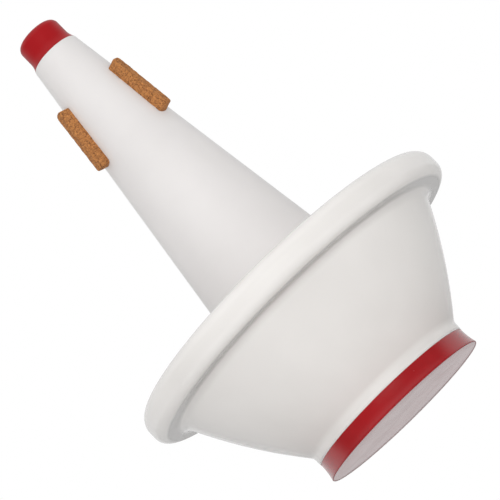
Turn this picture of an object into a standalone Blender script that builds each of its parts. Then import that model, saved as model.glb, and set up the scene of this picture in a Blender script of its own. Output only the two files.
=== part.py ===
"""Bass trombone cup mute, ten separate pieces, metres, +Z from the foot to the tip."""
import math

import bmesh
import bpy
from mathutils import Matrix, Vector

OBJECT_NAME = "bass_trombone_cup_mute"

# Shared fit
GAP = 0.0003
AROUND = 64
MERGE = 0.00001

# Cone
CAP_HEIGHT = 0.010
CONE_FOOT_Z = CAP_HEIGHT
CONE_FOOT_R = 0.050
CONE_LENGTH = 0.2553
CONE_TIP_Z = CONE_FOOT_Z + CONE_LENGTH
CONE_TIP_R = 0.0144
CONE_WALL = 0.0018
CONE_SLOPE = (CONE_FOOT_R - CONE_TIP_R) / CONE_LENGTH
CONE_ANGLE = math.atan(CONE_SLOPE)
CONE_WALL_ACROSS = CONE_WALL / math.cos(CONE_ANGLE)

# Lining of the cone
LINING_WALL = 0.0012

# Collar at the tip, stepped in from the cone and measured from its seat
COLLAR_AROUND = 48
COLLAR_STEP = 0.00015
COLLAR_FLARE = 0.00135
COLLAR_FLARE_HEIGHT = 0.0054
COLLAR_HEIGHT = 0.0159
COLLAR_LIP_EDGE = 0.0039
COLLAR_BORE_EDGE = 0.0008
COLLAR_SEAT_Z = CONE_TIP_Z + GAP
COLLAR_SEAT_R = CONE_TIP_R - COLLAR_STEP
COLLAR_R = COLLAR_SEAT_R - COLLAR_FLARE
COLLAR_FLARE_Z = COLLAR_SEAT_Z + COLLAR_FLARE_HEIGHT
COLLAR_TOP_Z = COLLAR_SEAT_Z + COLLAR_HEIGHT
COLLAR_BORE_R = COLLAR_R - COLLAR_LIP_EDGE - COLLAR_BORE_EDGE
SPIGOT_LENGTH = 0.0086
SPIGOT_FOOT_Z = COLLAR_SEAT_Z - SPIGOT_LENGTH
SPIGOT_R = CONE_TIP_R - CONE_WALL_ACROSS - GAP
SPIGOT_EDGE = 0.0006

# Cap at the foot, with a plug in the cone
CAP_STEP = 0.0001
CAP_FLARE = 0.0012
CAP_EDGE = 0.0005
CAP_SIDE_ARC = 0.037
CAP_SHOULDER_R = CONE_FOOT_R - CAP_STEP
CAP_SHOULDER_Z = CAP_HEIGHT
CAP_FOOT_R = CAP_SHOULDER_R + CAP_FLARE
PLUG_HEIGHT = 0.0055
PLUG_TOP_Z = CAP_SHOULDER_Z + PLUG_HEIGHT
PLUG_EDGE = 0.0006

# Cup, from its neck on the cone to its flange
CUP_WALL = 0.0024
CUP_NECK_STEP = 0.0014
CUP_NECK_RISE = 0.007
CUP_NECK_ANGLE = math.radians(39.0)
CUP_NECK_FILLET = 0.0055
CUP_SEAT_RISE = 0.002
CUP_RIM_ANGLE = math.radians(26.5)
CUP_RIM_FILLET = 0.008
CUP_HEIGHT = 0.064
FLANGE_LAND = 0.00362663
CUP_NECK_R = CONE_FOOT_R + CUP_NECK_STEP
CUP_NECK_Z = CONE_FOOT_Z + CUP_NECK_RISE
CUP_SEAT_TOP_Z = CUP_NECK_Z + CUP_SEAT_RISE
FLANGE_Z = CONE_FOOT_Z + CUP_HEIGHT
BOWL_RIM_Z = FLANGE_Z - CUP_RIM_FILLET * (1 - math.sin(CUP_RIM_ANGLE))
BOWL_ARC = (BOWL_RIM_Z - CUP_NECK_Z) / (math.sin(CUP_NECK_ANGLE) - math.sin(CUP_RIM_ANGLE))
BOWL_CENTRE_R = CUP_NECK_R - BOWL_ARC * math.cos(CUP_NECK_ANGLE)
BOWL_CENTRE_Z = CUP_NECK_Z + BOWL_ARC * math.sin(CUP_NECK_ANGLE)
BOWL_RIM_R = BOWL_CENTRE_R + BOWL_ARC * math.cos(CUP_RIM_ANGLE)
RIM_FILLET_R = BOWL_RIM_R + CUP_RIM_FILLET * math.cos(CUP_RIM_ANGLE)
RIM_FILLET_Z = FLANGE_Z - CUP_RIM_FILLET
FLANGE_R = RIM_FILLET_R + FLANGE_LAND

# Ring on the cup's flange: its lower edge stands outside the flange, its foot bears on it
RING_LOW_EDGE = 0.0055
RING_BEARING = 0.0053
RING_HEIGHT = 0.0172
RING_EDGE_ROOM = 0.0003
RING_INNER_EDGE = 0.003
RING_R = FLANGE_R + GAP + RING_LOW_EDGE
RING_TOP_Z = FLANGE_Z + RING_HEIGHT
RING_INNER_R = FLANGE_R + GAP - RING_BEARING
RING_TOP_EDGE = RING_R - RING_INNER_R - RING_INNER_EDGE - RING_EDGE_ROOM

# Glue bead inside the cup's neck
SEAL_CONE_LEG = 0.0052
SEAL_CUP_LEG = 0.0039
SEAL_SAG = 0.0008

# Cork pads: azimuth and skew of each
PAD_WIDTH = 0.0063
PAD_HEIGHT = 0.0063
PAD_LENGTH = 0.039
PAD_DROP = 0.047
PAD_CENTRE_Z = CONE_TIP_Z - PAD_DROP
PAD_CORNER = 0.002
PAD_CORNER_STEPS = 3
PAD_EDGE = 0.0008
PAD_SUNK = 0.003
PADS = (
    ("cork_pad_1", -30.0, 2.2),
    ("cork_pad_2", -150.0, -1.5),
    ("cork_pad_3", 90.0, 0.0),
)


def cone_r(z):
    return CONE_FOOT_R - CONE_SLOPE * (z - CONE_FOOT_Z)


def arc(centre_r, centre_z, radius, start, end, steps):
    """Points of an arc in the (r, z) plane; angles in degrees from +r towards +z."""
    points = []
    for i in range(steps + 1):
        angle = math.radians(start + (end - start) * i / steps)
        points.append((centre_r + radius * math.cos(angle), centre_z + radius * math.sin(angle)))
    return points


def arc_through(a, b, sag, steps):
    """Points of an arc from a to b that bows by sag to the left of the way from a to b."""
    chord = math.hypot(b[0] - a[0], b[1] - a[1])
    radius = (chord * chord / 4 + sag * sag) / (2 * abs(sag))
    side = math.copysign(1.0, sag)
    along = ((b[0] - a[0]) / chord, (b[1] - a[1]) / chord)
    left = (-along[1] * side, along[0] * side)
    half = math.asin(chord / 2 / radius)
    points = []
    for i in range(steps + 1):
        angle = -half + 2 * half * i / steps
        x = chord / 2 + radius * math.sin(angle)
        y = radius * math.cos(angle) - radius * math.cos(half)
        points.append((a[0] + along[0] * x + left[0] * y, a[1] + along[1] * x + left[1] * y))
    return points


def material(name, colour, roughness):
    made = bpy.data.materials.new(name)
    made.use_nodes = True
    shader = made.node_tree.nodes["Principled BSDF"]
    shader.inputs["Base Color"].default_value = (*colour, 1.0)
    shader.inputs["Roughness"].default_value = roughness
    return made


def shade_smooth(obj, degrees):
    obj.data.polygons.foreach_set("use_smooth", [True] * len(obj.data.polygons))
    obj.data.set_sharp_from_angle(angle=math.radians(degrees))


def turned(name, profile, closed, around, look):
    """A piece turned about Z from a profile that runs down its outer side."""
    mesh = bpy.data.meshes.new(name)
    vertices = [(r, 0.0, z) for r, z in profile]
    edges = [(i, i + 1) for i in range(len(profile) - 1)]
    if closed:
        edges.append((len(profile) - 1, 0))
    mesh.from_pydata(vertices, edges, [])
    obj = bpy.data.objects.new(name, mesh)
    parts.objects.link(obj)
    screw = obj.modifiers.new("Turn", "SCREW")
    screw.axis = "Z"
    screw.angle = 2 * math.pi
    screw.steps = around
    screw.render_steps = around
    screw.use_merge_vertices = True
    screw.merge_threshold = MERGE
    screw.use_smooth_shade = True
    obj.data.materials.append(look)
    return obj


def make_cone_shell(look):
    foot = CONE_FOOT_Z + GAP
    profile = [
        (CONE_TIP_R, CONE_TIP_Z),
        (cone_r(foot), foot),
        (cone_r(foot) - CONE_WALL_ACROSS, foot),
        (CONE_TIP_R - CONE_WALL_ACROSS, CONE_TIP_Z),
    ]
    return turned("cone_shell", profile, True, AROUND, look)


def make_cone_lining(look):
    foot = PLUG_TOP_Z + GAP
    tip = SPIGOT_FOOT_Z - GAP
    outside = CONE_WALL_ACROSS + GAP
    inside = outside + LINING_WALL / math.cos(CONE_ANGLE)
    profile = [
        (cone_r(tip) - outside, tip),
        (cone_r(foot) - outside, foot),
        (cone_r(foot) - inside, foot),
        (cone_r(tip) - inside, tip),
    ]
    return turned("cone_lining", profile, True, AROUND, look)


def make_tip_collar(look):
    lip_r = COLLAR_R - COLLAR_LIP_EDGE
    lip_z = COLLAR_TOP_Z - COLLAR_LIP_EDGE
    drop = COLLAR_FLARE_Z - COLLAR_SEAT_Z
    flare = COLLAR_SEAT_R - COLLAR_R
    turn = 2 * math.atan2(flare, drop)
    flare_arc = drop / math.sin(turn)
    profile = arc(lip_r, lip_z, COLLAR_LIP_EDGE, 90, 0, 6)
    profile += arc(COLLAR_R + flare_arc, COLLAR_FLARE_Z, flare_arc, 180, 180 + math.degrees(turn), 4)
    profile += [
        (SPIGOT_R, COLLAR_SEAT_Z),
        (SPIGOT_R, SPIGOT_FOOT_Z + SPIGOT_EDGE),
        (SPIGOT_R - SPIGOT_EDGE, SPIGOT_FOOT_Z),
        (COLLAR_BORE_R, SPIGOT_FOOT_Z),
    ]
    edge_r = COLLAR_BORE_R + COLLAR_BORE_EDGE
    edge_z = COLLAR_TOP_Z - COLLAR_BORE_EDGE
    profile += arc(edge_r, edge_z, COLLAR_BORE_EDGE, 180, 90, 3)[:-1]
    return turned("tip_collar", profile, True, COLLAR_AROUND, look)


def make_base_cap(look):
    plug_top_r = cone_r(PLUG_TOP_Z) - CONE_WALL_ACROSS - GAP
    plug_foot_r = cone_r(CAP_SHOULDER_Z) - CONE_WALL_ACROSS - GAP
    shoulder = (CAP_SHOULDER_R, CAP_SHOULDER_Z)
    foot = (CAP_FOOT_R, CAP_EDGE)
    half = math.hypot(foot[0] - shoulder[0], foot[1] - shoulder[1]) / 2
    sag = CAP_SIDE_ARC - math.sqrt(CAP_SIDE_ARC * CAP_SIDE_ARC - half * half)
    profile = [
        (0.0, PLUG_TOP_Z),
        (plug_top_r - PLUG_EDGE, PLUG_TOP_Z),
        (plug_top_r, PLUG_TOP_Z - PLUG_EDGE),
        (plug_foot_r, CAP_SHOULDER_Z),
    ]
    profile += arc_through(shoulder, foot, -sag, 5)
    profile += arc(CAP_FOOT_R - CAP_EDGE, CAP_EDGE, CAP_EDGE, 0, -90, 3)[1:]
    profile.append((0.0, 0.0))
    return turned("base_cap", profile, False, AROUND, look)


def make_cup_shell(look):
    neck = math.degrees(CUP_NECK_ANGLE)
    rim = math.degrees(CUP_RIM_ANGLE)
    lip = -math.degrees(CONE_ANGLE)
    neck_r = CUP_NECK_R + CUP_NECK_FILLET * math.cos(CUP_NECK_ANGLE)
    neck_z = CUP_NECK_Z - CUP_NECK_FILLET * math.sin(CUP_NECK_ANGLE)
    inner_arc = BOWL_ARC - CUP_WALL
    seat_angle = math.degrees(math.asin((BOWL_CENTRE_Z - CUP_SEAT_TOP_Z) / inner_arc))
    flange_top = FLANGE_Z + CUP_WALL
    outer = [(FLANGE_R, flange_top), (FLANGE_R, FLANGE_Z)]
    outer += arc(RIM_FILLET_R, RIM_FILLET_Z, CUP_RIM_FILLET, 90, 180 - rim, 4)
    outer += arc(BOWL_CENTRE_R, BOWL_CENTRE_Z, BOWL_ARC, -rim, -neck, 7)[1:]
    outer += arc(neck_r, neck_z, CUP_NECK_FILLET, 180 - neck, 180 - lip, 4)[1:]
    lip_z = outer[-1][1]
    inner = [(cone_r(lip_z) + GAP, lip_z), (cone_r(CUP_SEAT_TOP_Z) + GAP, CUP_SEAT_TOP_Z)]
    inner += arc(BOWL_CENTRE_R, BOWL_CENTRE_Z, inner_arc, -seat_angle, -rim, 7)
    inner += arc(RIM_FILLET_R, RIM_FILLET_Z, CUP_RIM_FILLET + CUP_WALL, 180 - rim, 90, 4)[1:]
    return turned("cup_shell", outer + inner, True, AROUND, look)


def make_rim_ring(look):
    ceiling = FLANGE_Z + CUP_WALL + GAP
    rebate_r = FLANGE_R + GAP
    profile = arc(RING_R - RING_TOP_EDGE, RING_TOP_Z - RING_TOP_EDGE, RING_TOP_EDGE, 90, 0, 6)
    profile += arc(RING_R - RING_LOW_EDGE, FLANGE_Z + RING_LOW_EDGE, RING_LOW_EDGE, 0, -90, 5)
    profile += [(rebate_r, ceiling), (RING_INNER_R, ceiling)]
    inner_r = RING_INNER_R + RING_INNER_EDGE
    profile += arc(inner_r, RING_TOP_Z - RING_INNER_EDGE, RING_INNER_EDGE, 180, 90, 3)
    return turned("rim_ring", profile, True, AROUND, look)


def make_neck_seal(look):
    foot_z = CUP_SEAT_TOP_Z + GAP
    radius = BOWL_ARC - CUP_WALL - GAP
    cone_top_z = foot_z + SEAL_CONE_LEG
    cup_top_z = foot_z + SEAL_CUP_LEG

    def cup_point(z):
        return (BOWL_CENTRE_R + math.sqrt(radius * radius - (BOWL_CENTRE_Z - z) ** 2), z)

    cone_top = (cone_r(cone_top_z) + GAP, cone_top_z)
    profile = [cup_point(cup_top_z), cup_point(foot_z), (cone_r(foot_z) + GAP, foot_z)]
    profile += arc_through(cone_top, cup_point(cup_top_z), -SEAL_SAG, 4)[:-1]
    return turned("neck_seal", profile, True, AROUND, look)


def make_cutter():
    """A solid cone one gap outside the cone shell, which shapes the pads' undersides."""
    foot = PAD_CENTRE_Z - PAD_LENGTH
    tip = PAD_CENTRE_Z + PAD_LENGTH
    profile = [(0.0, tip), (cone_r(tip) + GAP, tip), (cone_r(foot) + GAP, foot), (0.0, foot)]
    cutter = turned("pad_cutter", profile, False, AROUND, clear)
    parts.objects.unlink(cutter)
    cutters.objects.link(cutter)
    cutter.hide_render = True
    cutter.display_type = "WIRE"
    return cutter


def make_pad(name, azimuth, skew, cutter, look):
    """A cork strip with rounded corners, lying along the cone and hollowed to sit on it."""
    corner_r = PAD_WIDTH / 2 - PAD_CORNER
    corner_l = PAD_LENGTH / 2 - PAD_CORNER
    outline = []
    for quarter, (sx, sy) in enumerate(((1, 1), (-1, 1), (-1, -1), (1, -1))):
        for i in range(PAD_CORNER_STEPS + 1):
            angle = (quarter + i / PAD_CORNER_STEPS) * math.pi / 2
            x = sx * corner_r + PAD_CORNER * math.cos(angle)
            y = sy * corner_l + PAD_CORNER * math.sin(angle)
            outline.append((x, y))
    body = bmesh.new()
    low = [body.verts.new((x, y, -PAD_SUNK)) for x, y in outline]
    high = [body.verts.new((x, y, PAD_HEIGHT)) for x, y in outline]
    body.faces.new(high)
    body.faces.new(low[::-1])
    for i in range(len(outline)):
        j = (i + 1) % len(outline)
        body.faces.new((low[i], low[j], high[j], high[i]))
    mesh = bpy.data.meshes.new(name)
    body.to_mesh(mesh)
    body.free()
    obj = bpy.data.objects.new(name, mesh)
    parts.objects.link(obj)
    az = math.radians(azimuth)
    out = Vector((math.cos(az), math.sin(az), 0.0))
    across = Vector((-math.sin(az), math.cos(az), 0.0))
    up = Vector((0.0, 0.0, 1.0))
    normal = out * math.cos(CONE_ANGLE) + up * math.sin(CONE_ANGLE)
    along = up * math.cos(CONE_ANGLE) - out * math.sin(CONE_ANGLE)
    turn = math.radians(skew)
    pad_y = along * math.cos(turn) + across * math.sin(turn)
    pad_x = across * math.cos(turn) - along * math.sin(turn)
    frame = Matrix((pad_x, pad_y, normal)).transposed().to_4x4()
    frame.translation = out * cone_r(PAD_CENTRE_Z) + up * PAD_CENTRE_Z
    obj.matrix_world = frame
    soften = obj.modifiers.new("Soft edges", "BEVEL")
    soften.width = PAD_EDGE
    soften.segments = 2
    soften.limit_method = "ANGLE"
    soften.angle_limit = math.radians(50)
    hollow = obj.modifiers.new("Sit on cone", "BOOLEAN")
    hollow.operation = "DIFFERENCE"
    hollow.solver = "EXACT"
    hollow.object = cutter
    obj.data.materials.append(look)
    shade_smooth(obj, 40)
    return obj


for old in list(bpy.data.objects):
    bpy.data.objects.remove(old, do_unlink=True)

scene = bpy.context.scene
parts = bpy.data.collections.new(OBJECT_NAME)
cutters = bpy.data.collections.new("cutters")
scene.collection.children.link(parts)
scene.collection.children.link(cutters)

fibre = material("cone_white", (0.78, 0.76, 0.75), 0.4)
lining = material("lining_grey", (0.32, 0.31, 0.29), 0.9)
collar_red = material("collar_red", (0.38, 0.014, 0.018), 0.12)
cap_red = material("cap_red", (0.38, 0.014, 0.018), 0.12)
cork = material("cork", (0.50, 0.24, 0.09), 0.85)
cup_white = material("cup_white", (0.82, 0.80, 0.77), 0.2)
ring_white = material("ring_white", (0.82, 0.80, 0.77), 0.2)
glue = material("glue_white", (0.70, 0.68, 0.62), 0.6)
clear = material("cutter_grey", (0.5, 0.5, 0.5), 0.5)

make_cone_shell(fibre)
make_cone_lining(lining)
make_tip_collar(collar_red)
make_base_cap(cap_red)
make_cup_shell(cup_white)
make_rim_ring(ring_white)
make_neck_seal(glue)
pad_cutter = make_cutter()
for pad_name, pad_azimuth, pad_skew in PADS:
    make_pad(pad_name, pad_azimuth, pad_skew, pad_cutter, cork)
bpy.context.view_layer.update()
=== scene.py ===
"""Looks of the bass trombone cup mute: smooth turned pieces, granulated cork and lacquer."""
import math

import bmesh
import bpy
from mathutils import Matrix, Vector, noise


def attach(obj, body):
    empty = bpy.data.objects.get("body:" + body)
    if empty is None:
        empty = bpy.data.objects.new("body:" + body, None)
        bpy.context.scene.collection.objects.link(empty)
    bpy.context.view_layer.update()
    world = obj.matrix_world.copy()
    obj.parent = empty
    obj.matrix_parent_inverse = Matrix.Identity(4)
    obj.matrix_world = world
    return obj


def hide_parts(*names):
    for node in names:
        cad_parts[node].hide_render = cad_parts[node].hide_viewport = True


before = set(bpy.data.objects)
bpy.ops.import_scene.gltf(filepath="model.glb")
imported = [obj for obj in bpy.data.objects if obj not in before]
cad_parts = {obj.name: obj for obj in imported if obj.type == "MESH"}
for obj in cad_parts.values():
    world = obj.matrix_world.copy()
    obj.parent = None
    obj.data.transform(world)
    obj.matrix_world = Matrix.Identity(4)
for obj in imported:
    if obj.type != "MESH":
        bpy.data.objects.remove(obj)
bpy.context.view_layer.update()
scene = bpy.context.scene

# Sizes in metres, the same as the part's, but that JOINT is all that is left of each glue gap
STEPS = 224
JOINT = 0.00003
GAP = 0.0003
CONE_FOOT_Z, CONE_FOOT_R = 0.010, 0.050
CONE_TIP_Z, CONE_TIP_R = 0.2653, 0.0144
CONE_SLOPE = (CONE_FOOT_R - CONE_TIP_R) / (CONE_TIP_Z - CONE_FOOT_Z)
CONE_ANGLE = math.atan(CONE_SLOPE)
CONE_WALL = 0.0018 / math.cos(CONE_ANGLE)
LINING_WALL = 0.0012 / math.cos(CONE_ANGLE)
COLLAR_TOP_Z, COLLAR_BORE_R, COLLAR_BORE_EDGE, COLLAR_LIP_EDGE = 0.2815, 0.0082, 0.0008, 0.0039
COLLAR_R = COLLAR_BORE_R + COLLAR_BORE_EDGE + COLLAR_LIP_EDGE
COLLAR_FLARE_Z, COLLAR_SEAT_R = 0.271, 0.01425
SPIGOT_FOOT_Z = 0.257
CAP_FOOT_R, CAP_EDGE, CAP_SHOULDER_R, CAP_SIDE_ARC = 0.0511, 0.0005, 0.0499, 0.037
PLUG_TOP_Z = 0.0155
CUP_WALL = 0.0024
CUP_NECK_R, CUP_NECK_Z, CUP_NECK_ANGLE, CUP_NECK_FILLET = 0.0514, 0.017, math.radians(39.0), 0.0055
CUP_SEAT_TOP_Z = 0.019
CUP_RIM_ANGLE, CUP_RIM_FILLET = math.radians(26.5), 0.008
FLANGE_Z, FLANGE_R = 0.074, 0.096
BOWL_RIM_Z = FLANGE_Z - CUP_RIM_FILLET * (1 - math.sin(CUP_RIM_ANGLE))
BOWL_ARC = (BOWL_RIM_Z - CUP_NECK_Z) / (math.sin(CUP_NECK_ANGLE) - math.sin(CUP_RIM_ANGLE))
BOWL_CENTRE_R = CUP_NECK_R - BOWL_ARC * math.cos(CUP_NECK_ANGLE)
BOWL_CENTRE_Z = CUP_NECK_Z + BOWL_ARC * math.sin(CUP_NECK_ANGLE)
RIM_FILLET_R = BOWL_CENTRE_R + (BOWL_ARC + CUP_RIM_FILLET) * math.cos(CUP_RIM_ANGLE)
RIM_FILLET_Z = FLANGE_Z - CUP_RIM_FILLET
RING_R, RING_TOP_Z, RING_INNER_R = 0.1018, 0.0912, 0.091
RING_LOW_EDGE = RING_R - FLANGE_R - GAP
RING_TOP_EDGE, RING_INNER_EDGE = 0.0075, 0.003
SEAL_CONE_LEG, SEAL_CUP_LEG, SEAL_SAG = 0.0052, 0.0039, 0.0008
PAD_WIDTH, PAD_HEIGHT, PAD_LENGTH, PAD_CENTRE_Z, PAD_CORNER = 0.0063, 0.0063, 0.039, 0.2183, 0.002
PADS = (("cork_pad_1", -30.0, 2.2), ("cork_pad_2", -150.0, -1.5), ("cork_pad_3", 90.0, 0.0))

# Sizes that only the looks have: small worn edges, and the paint over the joint of cup and cone
CONE_TIP_EDGE = 0.0003
COLLAR_SEAT_EDGE, SPIGOT_EDGE = 0.0002, 0.0006
CAP_SHOULDER_EDGE, CAP_FACE_RINGS = 0.0002, (0.035, 0.015)
PAINT_FOOT_Z, PAINT_THICK, PAINT_SAG = 0.0108, 0.00012, 0.00006
PAD_EDGE, PAD_SUNK, PAD_VOXEL, PAD_CORNER_STEPS = 0.0008, 0.0025, 0.00034, 6
TURNED_SHARP, PAD_SHARP = math.radians(32), math.radians(50)

# How deep the cork is worn, in metres: everywhere, by its lumps, grain and pits, and at most
CORK_WEAR, CORK_LUMPS, CORK_GRAIN, CORK_PITS = 0.00012, 0.00016, 0.00007, 0.0009
CORK_DEEPEST, PIT_THRESHOLD = 0.00045, 0.28

# Colours: the lighter and the darker patches of each material
CONE_TINTS = ((0.80, 0.775, 0.765), (0.76, 0.735, 0.725))
CUP_TINTS = ((0.84, 0.815, 0.79), (0.80, 0.775, 0.75))
RED_TINTS = ((0.40, 0.010, 0.014), (0.34, 0.008, 0.011))
STONE_TINTS = ((0.46, 0.44, 0.41), (0.20, 0.19, 0.18))
FILLER_TINTS = ((0.74, 0.72, 0.66), (0.62, 0.60, 0.54))
CORK_TINTS = ((0.60, 0.245, 0.070), (0.34, 0.125, 0.036))
CORK_FINE, CORK_BARK, CORK_SEAM = (0.62, 0.29, 0.10), (0.15, 0.055, 0.022), (0.20, 0.075, 0.028)
# How dark the dust, the painted shade in the crease under the rim, and the stone's pores are
DUST_SHADE, CREASE_PAINTED_SHADE, PORE_SHADE = 0.8, 0.60, 0.5
ENAMEL_COAT_ROUGHNESS = 0.06

# Where the painted shade in the crease under the rim rises and ends, by height, and where it
# stops, by radius
PAINTED_SHADE_RISES = (FLANGE_Z - 0.0010, FLANGE_Z - 0.0001)
PAINTED_SHADE_ENDS = (FLANGE_Z + 0.0002, FLANGE_Z + 0.0006)
PAINTED_SHADE_STOPS = (FLANGE_R + 0.0005, FLANGE_R + 0.0020)

# Camera, at the photo's viewing angle
CAMERA_AT = (0.0, -1.4, -0.151771)
CAMERA_LENS = 197.385
ROLL, TILT, PAN = -0.7753881, 0.1895875, 0.0008966

# Floor: one-sided, so that the photo's low camera looks through it from below
FLOOR_Z = -0.0004
FLOOR_R = 3.0
FLOOR_HOLE_R = 0.0506
FLOOR_STEPS = 128
FLOOR_GREY = (0.84, 0.84, 0.84, 1.0)

# The world as a light: its strength before and behind the object, and where it turns bright, by
# the direction's Y and Z
WHITE = (1.0, 1.0, 1.0, 1.0)
WORLD_FRONT, WORLD_BACK = 0.10, 0.76
BACK_RAMP = (-0.15, 0.35)
TOP_RAMP = (0.35, 0.65)

# Soft lights: name, place, aim, width, height and watts
LIGHTS = (
    ("front_light", (0.1, -1.6, 0.24), (0.0, 0.0, 0.09), 1.2, 0.5, 12.5),
    ("top_light", (0.0, -1.2, 1.4), (0.0, 0.0, 0.15), 0.8, 0.8, 2.0),
    ("left_light", (-1.7, -0.8, 0.45), (0.0, 0.0, 0.06), 0.7, 0.7, 3.3),
    ("right_light", (1.7, -0.8, 0.45), (0.0, 0.0, 0.06), 0.7, 0.7, 2.5),
)


# Profiles, as points (radius, height)
def cone_r(z):
    return CONE_FOOT_R - CONE_SLOPE * (z - CONE_FOOT_Z)


def arc(centre_r, centre_z, radius, start, end, steps):
    """An arc from the angle start to the angle end, both in degrees."""
    points = []
    for i in range(steps + 1):
        angle = math.radians(start + (end - start) * i / steps)
        points.append((centre_r + radius * math.cos(angle), centre_z + radius * math.sin(angle)))
    return points


def arc_through(a, b, sag, steps):
    """An arc from a to b that bows by sag to the left of the way from a to b."""
    chord = math.hypot(b[0] - a[0], b[1] - a[1])
    radius = (chord * chord / 4 + sag * sag) / (2 * abs(sag))
    side = math.copysign(1.0, sag)
    along = ((b[0] - a[0]) / chord, (b[1] - a[1]) / chord)
    left = (-along[1] * side, along[0] * side)
    half = math.asin(chord / 2 / radius)
    points = []
    for i in range(steps + 1):
        angle = -half + 2 * half * i / steps
        x = chord / 2 + radius * math.sin(angle)
        y = radius * math.cos(angle) - radius * math.cos(half)
        points.append((a[0] + along[0] * x + left[0] * y, a[1] + along[1] * x + left[1] * y))
    return points


def rows(a, b, steps):
    """Points from a to b, without b."""
    points = []
    for i in range(steps):
        points.append((a[0] + (b[0] - a[0]) * i / steps, a[1] + (b[1] - a[1]) * i / steps))
    return points


# Materials
def shaded(colour, factor):
    return tuple(c * factor for c in colour)


class Nodes:
    """A short way to build one procedural material on the object's own coordinates."""

    def __init__(self, name):
        self.material = bpy.data.materials.new(name)
        self.material.use_nodes = True
        self.tree = self.material.node_tree
        self.shader = self.tree.nodes["Principled BSDF"]
        self.place = self.tree.nodes.new("ShaderNodeTexCoord").outputs["Object"]

    def link(self, source, target):
        self.tree.links.new(source, target)

    def moved(self, scale):
        node = self.tree.nodes.new("ShaderNodeMapping")
        node.inputs["Scale"].default_value = scale
        self.link(self.place, node.inputs["Vector"])
        return node.outputs["Vector"]

    def noise(self, scale, detail=3.0, rough=0.5, at=None):
        node = self.tree.nodes.new("ShaderNodeTexNoise")
        node.inputs["Scale"].default_value = scale
        node.inputs["Detail"].default_value = detail
        node.inputs["Roughness"].default_value = rough
        self.link(at or self.place, node.inputs["Vector"])
        return node.outputs["Fac"]

    def cells(self, scale, feature="F1", out="Distance"):
        node = self.tree.nodes.new("ShaderNodeTexVoronoi")
        node.feature = feature
        node.inputs["Scale"].default_value = scale
        self.link(self.place, node.inputs["Vector"])
        return node.outputs[out]

    def fit(self, value, low, high, new_low, new_high):
        node = self.tree.nodes.new("ShaderNodeMapRange")
        for index, number in enumerate((low, high, new_low, new_high)):
            node.inputs[index + 1].default_value = number
        self.link(value, node.inputs["Value"])
        return node.outputs["Result"]

    def times(self, a, b):
        node = self.tree.nodes.new("ShaderNodeMath")
        node.operation = "MULTIPLY"
        self.link(a, node.inputs[0])
        self.link(b, node.inputs[1])
        return node.outputs[0]

    def mix(self, factor, a, b):
        node = self.tree.nodes.new("ShaderNodeMix")
        node.data_type = "RGBA"
        for socket, value in ((node.inputs[0], factor), (node.inputs[6], a), (node.inputs[7], b)):
            if isinstance(value, tuple):
                socket.default_value = (*value, 1.0)
            else:
                self.link(value, socket)
        return node.outputs[2]

    def bump(self, height, strength, distance, under=None):
        node = self.tree.nodes.new("ShaderNodeBump")
        node.inputs["Strength"].default_value = strength
        node.inputs["Distance"].default_value = distance
        self.link(height, node.inputs["Height"])
        if under:
            self.link(under, node.inputs["Normal"])
        return node.outputs["Normal"]

    def painted_crease_shade(self):
        """Painted shade in the hollow under the rim, where the rim's shadow falls: high just below
        the flange, nothing outside it.
        """
        flat = self.tree.nodes.new("ShaderNodeVectorMath")
        flat.operation = "LENGTH"
        self.link(self.moved((1.0, 1.0, 0.0)), flat.inputs[0])
        height = self.tree.nodes.new("ShaderNodeSeparateXYZ")
        self.link(self.place, height.inputs[0])
        rises = self.fit(height.outputs["Z"], *PAINTED_SHADE_RISES, 0.0, 1.0)
        ends = self.fit(height.outputs["Z"], *PAINTED_SHADE_ENDS, 1.0, 0.0)
        inside = self.fit(flat.outputs["Value"], *PAINTED_SHADE_STOPS, 1.0, 0.0)
        return self.times(self.times(rises, ends), inside)

    def surface(self, colour, roughness, normal, coat=0.0, coat_roughness=0.1):
        self.link(colour, self.shader.inputs["Base Color"])
        self.link(roughness, self.shader.inputs["Roughness"])
        self.link(normal, self.shader.inputs["Normal"])
        if coat:
            self.shader.inputs["Coat Weight"].default_value = coat
            self.shader.inputs["Coat Roughness"].default_value = coat_roughness
        return self.material


def lacquer(name, tints, roughness, ripple, peel, coat, specular=0.5, painted_crease_shade=False):
    """Sprayed enamel: slow waviness, orange peel, faint dulled and dusty patches, and painted
    shade in the crease under the rim where asked.
    """
    light, dark = tints
    n = Nodes(name)
    tint = n.fit(n.noise(22.0, 2.0), 0.35, 0.7, 0.0, 1.0)
    dust = n.fit(n.noise(1400.0, 2.0), 0.70, 0.76, 0.0, 0.12)
    colour = n.mix(dust, n.mix(tint, light, dark), shaded(dark, DUST_SHADE))
    # Painted shade: the crease under the rim is darkened in the colour, where the rim's shadow
    # falls
    if painted_crease_shade:
        colour = n.mix(n.painted_crease_shade(), colour, shaded(dark, CREASE_PAINTED_SHADE))
    worn = n.fit(n.noise(55.0, 4.0, 0.6), 0.3, 0.75, *roughness)
    wavy = n.bump(n.noise(38.0, 1.0), 1.0, ripple)
    normal = n.bump(n.noise(1100.0, 1.0), 1.0, peel, wavy)
    n.shader.inputs["Specular IOR Level"].default_value = specular
    return n.surface(colour, worn, normal, coat, ENAMEL_COAT_ROUGHNESS)


def wound_fibre(name, tints):
    """Satin lacquer over a wound cone: fine windings, soft patches, a little wear."""
    light, dark = tints
    n = Nodes(name)
    slow = n.fit(n.noise(18.0, 3.0), 0.35, 0.7, 0.0, 1.0)
    specks = n.fit(n.noise(1200.0, 2.0), 0.70, 0.76, 0.0, 0.15)
    colour = n.mix(specks, n.mix(slow, light, dark), shaded(dark, DUST_SHADE))
    worn = n.fit(n.noise(60.0, 4.0, 0.6), 0.3, 0.75, 0.30, 0.42)
    windings = n.bump(n.noise(90.0, 2.0, 0.5, n.moved((0.25, 0.25, 1.6))), 1.0, 0.00010)
    normal = n.bump(n.noise(1500.0, 2.0), 1.0, 0.000012, windings)
    return n.surface(colour, worn, normal, 0.25, 0.25)


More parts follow.
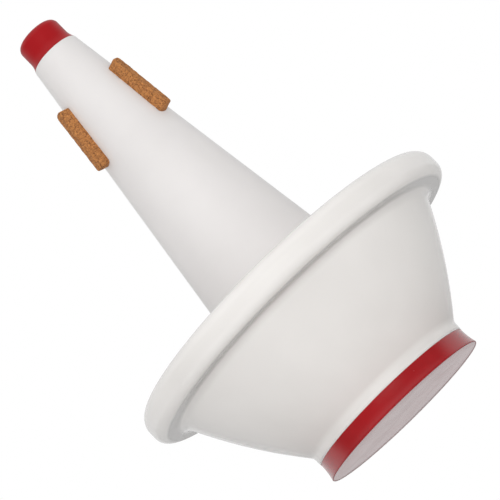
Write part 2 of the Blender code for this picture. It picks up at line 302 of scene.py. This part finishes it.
def granulated_cork(name, tints):
    """Pressed cork: granules of several browns, dark bark specks and open pores."""
    n = Nodes(name)
    tone = n.fit(n.cells(900.0, "F1", "Color"), 0.25, 0.85, 0.0, 1.0)
    base = n.mix(tone, *tints)
    fine = n.fit(n.noise(2300.0, 4.0, 0.7), 0.42, 0.66, 0.0, 0.75)
    base = n.mix(fine, base, CORK_FINE)
    bark = n.fit(n.noise(900.0, 3.0, 0.65), 0.55, 0.62, 0.0, 0.9)
    base = n.mix(bark, base, CORK_BARK)
    seams = n.fit(n.cells(1150.0, "DISTANCE_TO_EDGE"), 0.0, 0.12, 0.6, 0.0)
    base = n.mix(seams, base, CORK_SEAM)
    pits = n.bump(n.noise(1250.0, 4.0, 0.7), 1.0, 0.00035)
    normal = n.bump(n.cells(1150.0, "DISTANCE_TO_EDGE"), 0.7, 0.00015, pits)
    rough = n.fit(n.noise(500.0), 0.3, 0.7, 0.82, 0.96)
    return n.surface(base, rough, normal)


def mineral(name, tints, grain, depth):
    """A sprayed stone coat or a filler: grains of two tones on a rough ground."""
    light, dark = tints
    n = Nodes(name)
    tone = n.fit(n.noise(grain, 4.0, 0.7), 0.35, 0.65, 0.0, 1.0)
    pores = n.fit(n.cells(grain * 0.7), 0.0, 0.35, 0.5, 0.0)
    colour = n.mix(pores, n.mix(tone, dark, light), shaded(dark, PORE_SHADE))
    normal = n.bump(n.noise(grain, 4.0, 0.7), 1.0, depth)
    rough = n.fit(n.noise(grain * 0.3), 0.3, 0.7, 0.75, 0.95)
    return n.surface(colour, rough, normal)


cone_white = wound_fibre("look_cone_white", CONE_TINTS)
# The cup's white lacquer carries painted shade in the crease under the rim
cup_white = lacquer("look_cup_white", CUP_TINTS, (0.16, 0.26), ripple=0.00035, peel=0.000004,
                    coat=0.6, painted_crease_shade=True)
cap_red = lacquer("look_cap_red", RED_TINTS, (0.18, 0.28), ripple=0.00008, peel=0.000003,
                  coat=0.5)
collar_red = lacquer("look_collar_red", RED_TINTS, (0.32, 0.42), ripple=0.00008, peel=0.000003,
                     coat=0.0, specular=0.22)
cork = granulated_cork("look_cork", CORK_TINTS)
stone = mineral("look_stone", STONE_TINTS, grain=900.0, depth=0.00025)
filler = mineral("look_filler", FILLER_TINTS, grain=350.0, depth=0.00008)


# Pieces
def finish_piece(obj, node, look):
    """Gives a piece its material and its body, and hides the CAD node that it stands for."""
    obj.data.materials.clear()
    obj.data.materials.append(look)
    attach(obj, "root")
    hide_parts(node)


def add_object(name, mesh):
    obj = bpy.data.objects.new(name, mesh)
    scene.collection.objects.link(obj)
    return obj


def smooth(mesh, sharp_angle):
    mesh.polygons.foreach_set("use_smooth", [True] * len(mesh.polygons))
    mesh.set_sharp_from_angle(angle=sharp_angle)


def turned(node, profile, look, closed=True):
    """A smooth piece turned about Z from a profile that runs down its outer side."""
    vertices = []
    rings = []
    for r, z in profile:
        if r < 1e-7:
            rings.append([len(vertices)] * STEPS)
            vertices.append((0.0, 0.0, z))
            continue
        rings.append(list(range(len(vertices), len(vertices) + STEPS)))
        for i in range(STEPS):
            angle = 2 * math.pi * i / STEPS
            vertices.append((r * math.cos(angle), r * math.sin(angle), z))
    pairs = list(zip(rings, rings[1:]))
    if closed:
        pairs.append((rings[-1], rings[0]))
    faces = []
    for upper, lower in pairs:
        for i in range(STEPS):
            j = (i + 1) % STEPS
            corners = (upper[i], lower[i], lower[j], upper[j])
            faces.append(tuple(dict.fromkeys(corners)))
    mesh = bpy.data.meshes.new("look_" + node)
    mesh.from_pydata(vertices, [], faces)
    smooth(mesh, TURNED_SHARP)
    finish_piece(add_object("look_" + node, mesh), node, look)


def make_cone():
    foot = CONE_FOOT_Z + JOINT
    tip = CONE_TIP_Z + GAP - JOINT
    edge = CONE_TIP_EDGE
    profile = arc(cone_r(tip) - edge, tip - edge, edge, 90, 8, 3)
    profile += rows((cone_r(tip - 2 * edge), tip - 2 * edge), (cone_r(foot), foot), 12)
    profile += [(cone_r(foot), foot), (cone_r(foot) - CONE_WALL, foot)]
    profile += [(cone_r(tip) - CONE_WALL, tip)]
    turned("cone_shell", profile, cone_white)


def make_lining():
    foot = PLUG_TOP_Z + JOINT
    tip = SPIGOT_FOOT_Z - GAP
    outside = CONE_WALL + JOINT
    inside = outside + GAP + LINING_WALL
    profile = rows((cone_r(tip) - outside, tip), (cone_r(foot) - outside, foot), 8)
    profile += [(cone_r(foot) - outside, foot), (cone_r(foot) - inside, foot)]
    profile += rows((cone_r(foot) - inside, foot), (cone_r(tip) - inside, tip), 8)[1:]
    profile += [(cone_r(tip) - inside, tip)]
    turned("cone_lining", profile, stone)


def make_collar():
    seat = CONE_TIP_Z + GAP
    drop = COLLAR_FLARE_Z - seat
    turn = 2 * math.atan2(COLLAR_SEAT_R - COLLAR_R, drop)
    flare = drop / math.sin(turn)
    flare_end = 180 + math.degrees(turn)
    spigot_r = CONE_TIP_R - CONE_WALL - JOINT
    lip_r, lip_z = COLLAR_R - COLLAR_LIP_EDGE, COLLAR_TOP_Z - COLLAR_LIP_EDGE
    profile = arc(lip_r, lip_z, COLLAR_LIP_EDGE, 90, 0, 16)
    profile += arc(COLLAR_R + flare, COLLAR_FLARE_Z, flare, 180, flare_end, 10)
    profile += [(COLLAR_SEAT_R - COLLAR_SEAT_EDGE, seat), (spigot_r, seat)]
    profile += [(spigot_r, SPIGOT_FOOT_Z + SPIGOT_EDGE), (spigot_r - SPIGOT_EDGE, SPIGOT_FOOT_Z)]
    profile += [(COLLAR_BORE_R, SPIGOT_FOOT_Z)]
    edge_r, edge_z = COLLAR_BORE_R + COLLAR_BORE_EDGE, COLLAR_TOP_Z - COLLAR_BORE_EDGE
    profile += arc(edge_r, edge_z, COLLAR_BORE_EDGE, 180, 90, 8)[:-1]
    turned("tip_collar", profile, collar_red)


def make_cap():
    shoulder = (CAP_SHOULDER_R, CONE_FOOT_Z)
    foot = (CAP_FOOT_R, CAP_EDGE)
    half = math.hypot(foot[0] - shoulder[0], foot[1] - shoulder[1]) / 2
    sag = CAP_SIDE_ARC - math.sqrt(CAP_SIDE_ARC * CAP_SIDE_ARC - half * half)
    plug_r = cone_r(PLUG_TOP_Z) - CONE_WALL - JOINT
    plug_foot_r = cone_r(CONE_FOOT_Z) - CONE_WALL - JOINT
    edge = CAP_SHOULDER_EDGE
    profile = [(0.0, PLUG_TOP_Z), (plug_r, PLUG_TOP_Z), (plug_foot_r, CONE_FOOT_Z)]
    profile += arc(shoulder[0] - edge, shoulder[1] - edge, edge, 90, 20, 3)
    profile += arc_through(shoulder, foot, -sag, 14)[1:]
    profile += arc(CAP_FOOT_R - CAP_EDGE, CAP_EDGE, CAP_EDGE, 0, -90, 8)[1:]
    profile += [(r, 0.0) for r in CAP_FACE_RINGS]
    profile += [(0.0, 0.0)]
    turned("base_cap", profile, cap_red, closed=False)


def make_cup():
    neck = math.degrees(CUP_NECK_ANGLE)
    rim = math.degrees(CUP_RIM_ANGLE)
    neck_r = CUP_NECK_R + CUP_NECK_FILLET * math.cos(CUP_NECK_ANGLE)
    neck_z = CUP_NECK_Z - CUP_NECK_FILLET * math.sin(CUP_NECK_ANGLE)
    inner_arc = BOWL_ARC - CUP_WALL
    inner_fillet = CUP_RIM_FILLET + CUP_WALL
    seat_angle = math.degrees(math.asin((BOWL_CENTRE_Z - CUP_SEAT_TOP_Z) / inner_arc))
    profile = [(FLANGE_R, FLANGE_Z + CUP_WALL), (FLANGE_R, FLANGE_Z)]
    profile += arc(RIM_FILLET_R, RIM_FILLET_Z, CUP_RIM_FILLET, 90, 180 - rim, 16)
    profile += arc(BOWL_CENTRE_R, BOWL_CENTRE_Z, BOWL_ARC, -rim, -neck, 30)[1:]
    profile += arc(neck_r, neck_z, CUP_NECK_FILLET, 180 - neck, 180, 10)[1:]
    paint_foot = (cone_r(PAINT_FOOT_Z) + PAINT_THICK, PAINT_FOOT_Z)
    profile += arc_through(profile[-1], paint_foot, PAINT_SAG, 8)[1:]
    profile += [(cone_r(PAINT_FOOT_Z) + JOINT, PAINT_FOOT_Z)]
    profile += [(cone_r(CUP_SEAT_TOP_Z) + JOINT, CUP_SEAT_TOP_Z)]
    profile += arc(BOWL_CENTRE_R, BOWL_CENTRE_Z, inner_arc, -seat_angle, -rim, 24)
    profile += arc(RIM_FILLET_R, RIM_FILLET_Z, inner_fillet, 180 - rim, 90, 12)[1:]
    turned("cup_shell", profile, cup_white)


def make_ring():
    ceiling = FLANGE_Z + CUP_WALL + JOINT
    rebate = FLANGE_R + JOINT
    low = FLANGE_Z + RING_LOW_EDGE
    profile = arc(RING_R - RING_TOP_EDGE, RING_TOP_Z - RING_TOP_EDGE, RING_TOP_EDGE, 90, 0, 18)
    profile += arc(RING_R - RING_LOW_EDGE, low, RING_LOW_EDGE, 0, -90, 16)
    profile += [(rebate, FLANGE_Z), (rebate, ceiling), (RING_INNER_R, ceiling)]
    inner_r = RING_INNER_R + RING_INNER_EDGE
    profile += arc(inner_r, RING_TOP_Z - RING_INNER_EDGE, RING_INNER_EDGE, 180, 90, 10)
    turned("rim_ring", profile, cup_white)


def make_seal():
    foot_z = CUP_SEAT_TOP_Z + JOINT
    radius = BOWL_ARC - CUP_WALL - JOINT
    cone_top_z = foot_z + SEAL_CONE_LEG + GAP
    cup_top_z = foot_z + SEAL_CUP_LEG + GAP

    def cup_point(z):
        return (BOWL_CENTRE_R + math.sqrt(radius * radius - (BOWL_CENTRE_Z - z) ** 2), z)

    cone_top = (cone_r(cone_top_z) + JOINT, cone_top_z)
    profile = rows(cup_point(cup_top_z), cup_point(foot_z), 4)
    profile += [cup_point(foot_z), (cone_r(foot_z) + JOINT, foot_z)]
    profile += arc_through(cone_top, cup_point(cup_top_z), -SEAL_SAG, 12)[:-1]
    turned("neck_seal", profile, filler)


def make_cutter():
    """The cone that the pads' undersides are cut to; it is deleted after use."""
    foot, tip = PAD_CENTRE_Z - PAD_LENGTH, PAD_CENTRE_Z + PAD_LENGTH
    mesh = bpy.data.meshes.new("cutter")
    body = bmesh.new()
    centre = Matrix.Translation((0.0, 0.0, (foot + tip) / 2))
    bmesh.ops.create_cone(body, cap_ends=True, segments=STEPS, radius1=cone_r(foot) + JOINT,
                          radius2=cone_r(tip) + JOINT, depth=tip - foot, matrix=centre)
    body.to_mesh(mesh)
    body.free()
    return add_object("cutter", mesh)


def apply_modifiers(obj):
    """Works the object's modifiers into its mesh."""
    bpy.context.view_layer.update()
    graph = bpy.context.evaluated_depsgraph_get()
    made = bpy.data.meshes.new_from_object(obj.evaluated_get(graph))
    obj.modifiers.clear()
    obj.data = made


def pad_block(node):
    """A block with rounded corners and softened edges, its mesh made even."""
    outline = []
    for quarter, (sx, sy) in enumerate(((1, 1), (-1, 1), (-1, -1), (1, -1))):
        for i in range(PAD_CORNER_STEPS + 1):
            angle = (quarter + i / PAD_CORNER_STEPS) * math.pi / 2
            x = sx * (PAD_WIDTH / 2 - PAD_CORNER) + PAD_CORNER * math.cos(angle)
            y = sy * (PAD_LENGTH / 2 - PAD_CORNER) + PAD_CORNER * math.sin(angle)
            outline.append((x, y))
    body = bmesh.new()
    low = [body.verts.new((x, y, -PAD_SUNK)) for x, y in outline]
    high = [body.verts.new((x, y, PAD_HEIGHT)) for x, y in outline]
    body.faces.new(high)
    body.faces.new(low[::-1])
    for i in range(len(outline)):
        j = (i + 1) % len(outline)
        body.faces.new((low[i], low[j], high[j], high[i]))
    mesh = bpy.data.meshes.new("look_" + node)
    body.to_mesh(mesh)
    body.free()
    obj = add_object("look_" + node, mesh)
    soften = obj.modifiers.new("Soft edges", "BEVEL")
    soften.width = PAD_EDGE
    soften.segments = 3
    soften.limit_method = "ANGLE"
    soften.angle_limit = PAD_SHARP
    remesh = obj.modifiers.new("Even", "REMESH")
    remesh.mode = "VOXEL"
    remesh.voxel_size = PAD_VOXEL
    apply_modifiers(obj)
    return obj


def wear(mesh, seed):
    """Wears the cork down and pits it; the noise is read in millimetres."""
    shift = Vector((seed * 3.1, seed * 1.7, 0.0))
    pit_shift = Vector((40.0, 0.0, 0.0))
    moves = []
    for vertex in mesh.vertices:
        here = vertex.co * 1000.0 + shift
        lumps = noise.noise(here * 0.35)
        grain = noise.fractal(here * 1.1, 0.9, 2.2, 3)
        pit = max(0.0, noise.noise(here * 1.7 + pit_shift) - PIT_THRESHOLD)
        depth = CORK_WEAR + CORK_LUMPS * lumps + CORK_GRAIN * grain + CORK_PITS * pit
        moves.append(vertex.normal * -max(0.0, min(depth, CORK_DEEPEST)))
    for vertex, move in zip(mesh.vertices, moves):
        vertex.co += move


def pad_place(azimuth, skew):
    """Where a pad lies: its length along the cone's side, turned by skew, at azimuth about Z."""
    az = math.radians(azimuth)
    out = Vector((math.cos(az), math.sin(az), 0.0))
    across = Vector((-math.sin(az), math.cos(az), 0.0))
    up = Vector((0.0, 0.0, 1.0))
    normal = out * math.cos(CONE_ANGLE) + up * math.sin(CONE_ANGLE)
    along = up * math.cos(CONE_ANGLE) - out * math.sin(CONE_ANGLE)
    turn = math.radians(skew)
    pad_y = along * math.cos(turn) + across * math.sin(turn)
    pad_x = across * math.cos(turn) - along * math.sin(turn)
    place = Matrix((pad_x, pad_y, normal)).transposed().to_4x4()
    place.translation = out * cone_r(PAD_CENTRE_Z) + up * PAD_CENTRE_Z
    return place


def make_pad(node, azimuth, skew, cutter, seed):
    """A cork strip: worn and pitted, then cut to sit on the cone."""
    obj = pad_block(node)
    wear(obj.data, seed)
    obj.data.transform(pad_place(azimuth, skew))
    hollow = obj.modifiers.new("Sit on cone", "BOOLEAN")
    hollow.operation = "DIFFERENCE"
    hollow.solver = "EXACT"
    hollow.object = cutter
    apply_modifiers(obj)
    smooth(obj.data, PAD_SHARP)
    finish_piece(obj, node, cork)


# Studio
def make_camera():
    roll = Matrix(((math.cos(ROLL), math.sin(ROLL), 0),
                   (-math.sin(ROLL), math.cos(ROLL), 0),
                   (0, 0, 1)))
    tilt = Matrix(((1, 0, 0),
                   (0, math.cos(TILT), -math.sin(TILT)),
                   (0, math.sin(TILT), math.cos(TILT))))
    pan = Matrix(((math.cos(PAN), 0, -math.sin(PAN)),
                  (0, 1, 0),
                  (math.sin(PAN), 0, math.cos(PAN))))
    base = Matrix(((1, 0, 0), (0, 0, 1), (0, 1, 0)))
    right, upward, forward = (roll @ tilt @ pan @ base)[:]
    data = bpy.data.cameras.new("camera")
    data.lens = CAMERA_LENS
    data.sensor_width = 36.0
    data.clip_start = 0.01
    camera = add_object("camera", data)
    place = Matrix((right, upward, -Vector(forward))).transposed().to_4x4()
    place.translation = Vector(CAMERA_AT)
    camera.matrix_world = place
    scene.camera = camera


def make_floor():
    mesh = bpy.data.meshes.new("floor")
    vertices = []
    for r in (FLOOR_HOLE_R, FLOOR_R):
        for i in range(FLOOR_STEPS):
            angle = 2 * math.pi * i / FLOOR_STEPS
            vertices.append((r * math.cos(angle), r * math.sin(angle), FLOOR_Z))
    faces = []
    for i in range(FLOOR_STEPS):
        j = (i + 1) % FLOOR_STEPS
        faces.append((i, i + FLOOR_STEPS, j + FLOOR_STEPS, j))
    mesh.from_pydata(vertices, [], faces)
    floor = add_object("floor", mesh)
    n = Nodes("floor_white")
    n.shader.inputs["Roughness"].default_value = 0.9
    n.shader.inputs["Base Color"].default_value = FLOOR_GREY
    clear = n.tree.nodes.new("ShaderNodeBsdfTransparent")
    facing = n.tree.nodes.new("ShaderNodeNewGeometry")
    either = n.tree.nodes.new("ShaderNodeMixShader")
    n.link(facing.outputs["Backfacing"], either.inputs[0])
    n.link(n.shader.outputs[0], either.inputs[1])
    n.link(clear.outputs[0], either.inputs[2])
    n.link(either.outputs[0], n.tree.nodes["Material Output"].inputs["Surface"])
    mesh.materials.append(n.material)


def make_world():
    """White to the camera; as light, bright behind and above the object and dim before it."""
    world = bpy.data.worlds.new("studio")
    world.use_nodes = True
    scene.world = world
    tree = world.node_tree
    way = tree.nodes.new("ShaderNodeTexCoord").outputs["Generated"]
    parts = tree.nodes.new("ShaderNodeSeparateXYZ")
    tree.links.new(way, parts.inputs[0])

    def ramp(value, low, high, new_low, new_high, shape="SMOOTHSTEP"):
        node = tree.nodes.new("ShaderNodeMapRange")
        node.interpolation_type = shape
        for index, number in enumerate((low, high, new_low, new_high)):
            node.inputs[index + 1].default_value = number
        tree.links.new(value, node.inputs["Value"])
        return node.outputs["Result"]

    def larger(a, b):
        node = tree.nodes.new("ShaderNodeMath")
        node.operation = "MAXIMUM"
        tree.links.new(a, node.inputs[0])
        tree.links.new(b, node.inputs[1])
        return node.outputs[0]

    behind = ramp(parts.outputs["Y"], *BACK_RAMP, 0.0, 1.0)
    above = ramp(parts.outputs["Z"], *TOP_RAMP, 0.0, 1.0)
    strength = ramp(larger(behind, above), 0.0, 1.0, WORLD_FRONT, WORLD_BACK, "LINEAR")
    soft = tree.nodes["Background"]
    soft.inputs["Color"].default_value = WHITE
    tree.links.new(strength, soft.inputs["Strength"])
    plain = tree.nodes.new("ShaderNodeBackground")
    plain.inputs["Color"].default_value = WHITE
    plain.inputs["Strength"].default_value = 1.0
    rays = tree.nodes.new("ShaderNodeLightPath")
    seen = larger(rays.outputs["Is Camera Ray"], rays.outputs["Is Transmission Ray"])
    mix = tree.nodes.new("ShaderNodeMixShader")
    tree.links.new(seen, mix.inputs[0])
    tree.links.new(soft.outputs[0], mix.inputs[1])
    tree.links.new(plain.outputs[0], mix.inputs[2])
    tree.links.new(mix.outputs[0], tree.nodes["World Output"].inputs["Surface"])


def soft_light(name, at, towards, width, height, watts):
    """An area light that neither the camera nor a reflection shows."""
    data = bpy.data.lights.new(name, "AREA")
    data.shape = "RECTANGLE"
    data.size = width
    data.size_y = height
    data.energy = watts
    light = add_object(name, data)
    light.location = at
    aim = Vector(towards) - Vector(at)
    light.rotation_euler = aim.to_track_quat("-Z", "Y").to_euler()
    light.visible_glossy = False
    light.visible_camera = False


make_cone()
make_lining()
make_collar()
make_cap()
make_cup()
make_ring()
make_seal()
pad_cutter = make_cutter()
for number, (pad_node, pad_azimuth, pad_skew) in enumerate(PADS):
    make_pad(pad_node, pad_azimuth, pad_skew, pad_cutter, number + 1)
bpy.data.objects.remove(pad_cutter, do_unlink=True)

make_camera()
make_floor()
make_world()
for light_values in LIGHTS:
    soft_light(*light_values)
scene.view_settings.view_transform = "Standard"
